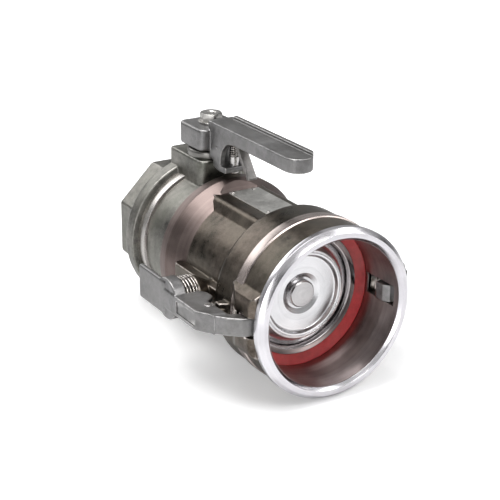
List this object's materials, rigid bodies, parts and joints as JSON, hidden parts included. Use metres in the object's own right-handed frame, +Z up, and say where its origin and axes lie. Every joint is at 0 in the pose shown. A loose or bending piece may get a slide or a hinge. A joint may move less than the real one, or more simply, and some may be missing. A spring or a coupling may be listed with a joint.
{
  "type": "dry break coupling",
  "caption": "Dry break coupling: lever-driven poppet valve with a latch-arm socket for a hose adaptor at the front and a female pipe thread with wrench flats at the rear.",
  "frame": {"origin": "centre of the rear face of the threaded end, on the flow axis", "axes": "+Y runs along the flow axis out of the threaded end (the socket mouth faces -Y), +Z runs up along the valve stem to the lever, +X to the right seen from behind the mouth looking into it"},
  "size_m": [0.197, 0.261, 0.1845],
  "materials": {
    "nose_casting": "satin as-cast stainless steel with machined bands",
    "valve_casting": "satin as-cast stainless steel",
    "lever_casting": "satin blasted stainless casting",
    "polished_steel": "mirror-polished stainless steel",
    "machined_steel": "turned stainless steel",
    "spring_steel": "bright drawn spring wire",
    "red_rubber": "smooth red elastomer",
    "black_rubber": "smooth black elastomer",
    "bearing_bronze": "turned bearing bronze"
  },
  "bodies": {
    "housing": {"nose_housing": "nose_casting", "valve_housing": "valve_casting", "threaded_end": "valve_casting", "nose_joint_seal": "black_rubber", "tail_joint_seal": "black_rubber", "face_seal": "red_rubber", "seal_retainer": "polished_steel", "guide_spider": "machined_steel", "guide_bush": "bearing_bronze", "stem_bush": "bearing_bronze", "stem_seals": "black_rubber", "gland_ring": "machined_steel", "latch_pin_left": "machined_steel", "latch_pin_right": "machined_steel", "latch_spring_left": "spring_steel", "latch_spring_right": "spring_steel"},
    "poppet_group": {"poppet": "polished_steel", "poppet_seal": "black_rubber", "poppet_nut": "machined_steel", "poppet_shaft": "machined_steel", "yoke": "machined_steel", "yoke_pin": "machined_steel"},
    "lever_group": {"stem": "machined_steel", "crank": "machined_steel", "crank_pin": "machined_steel", "handle": "lever_casting", "handle_bolt": "machined_steel", "handle_washer": "machined_steel", "trigger_pin": "machined_steel", "plunger_washer": "machined_steel", "plunger_spring": "spring_steel"},
    "roller": {"crank_roller": "bearing_bronze"},
    "trigger_body": {"trigger": "machined_steel"},
    "plunger_body": {"plunger": "machined_steel"},
    "left_latch": {"latch_arm_left": "lever_casting"},
    "right_latch": {"latch_arm_right": "lever_casting"}
  },
  "joints": [
    {"name": "handle_turn", "type": "hinge", "parent": "housing", "child": "lever_group", "pos_m": [0, -0.0673, 0.086], "axis": [0, 0, -1], "range_deg": [0, 90]},
    {"name": "poppet_slide", "type": "slide", "parent": "housing", "child": "poppet_group", "axis": [0, -1, 0], "range_m": [0, 0.0255]},
    {"name": "roller_spin", "type": "hinge", "parent": "lever_group", "child": "roller", "pos_m": [0.01273, -0.05457, 0.01475], "axis": [0, 0, 1], "continuous": true},
    {"name": "trigger_pull", "type": "hinge", "parent": "lever_group", "child": "trigger_body", "pos_m": [0, -0.1145, 0.1025], "axis": [1, 0, 0], "range_deg": [0, 14], "stiffness_Nm_per_rad": 0.4, "springref_deg": -5.73},
    {"name": "plunger_lift", "type": "slide", "parent": "lever_group", "child": "plunger_body", "axis": [0, 0, 1], "range_m": [0, 0.0021], "deforming": ["plunger_spring"]},
    {"name": "latch_left_open", "type": "hinge", "parent": "housing", "child": "left_latch", "pos_m": [-0.084, -0.209, 0], "axis": [0, 0, -1], "range_deg": [0, 10.5], "stiffness_Nm_per_rad": 6, "springref_deg": -5.73, "deforming": ["latch_spring_left"]},
    {"name": "latch_right_open", "type": "hinge", "parent": "housing", "child": "right_latch", "pos_m": [0.084, -0.209, 0], "axis": [0, 0, 1], "range_deg": [0, 10.5], "stiffness_Nm_per_rad": 6, "springref_deg": -5.73, "deforming": ["latch_spring_right"]}
  ],
  "couplings": [
    {"joint": "poppet_slide", "follows": "handle_turn", "m_per_rad": 0.016208},
    {"joint": "plunger_lift", "follows": "trigger_pull", "m_per_rad": 0.0085}
  ]
}
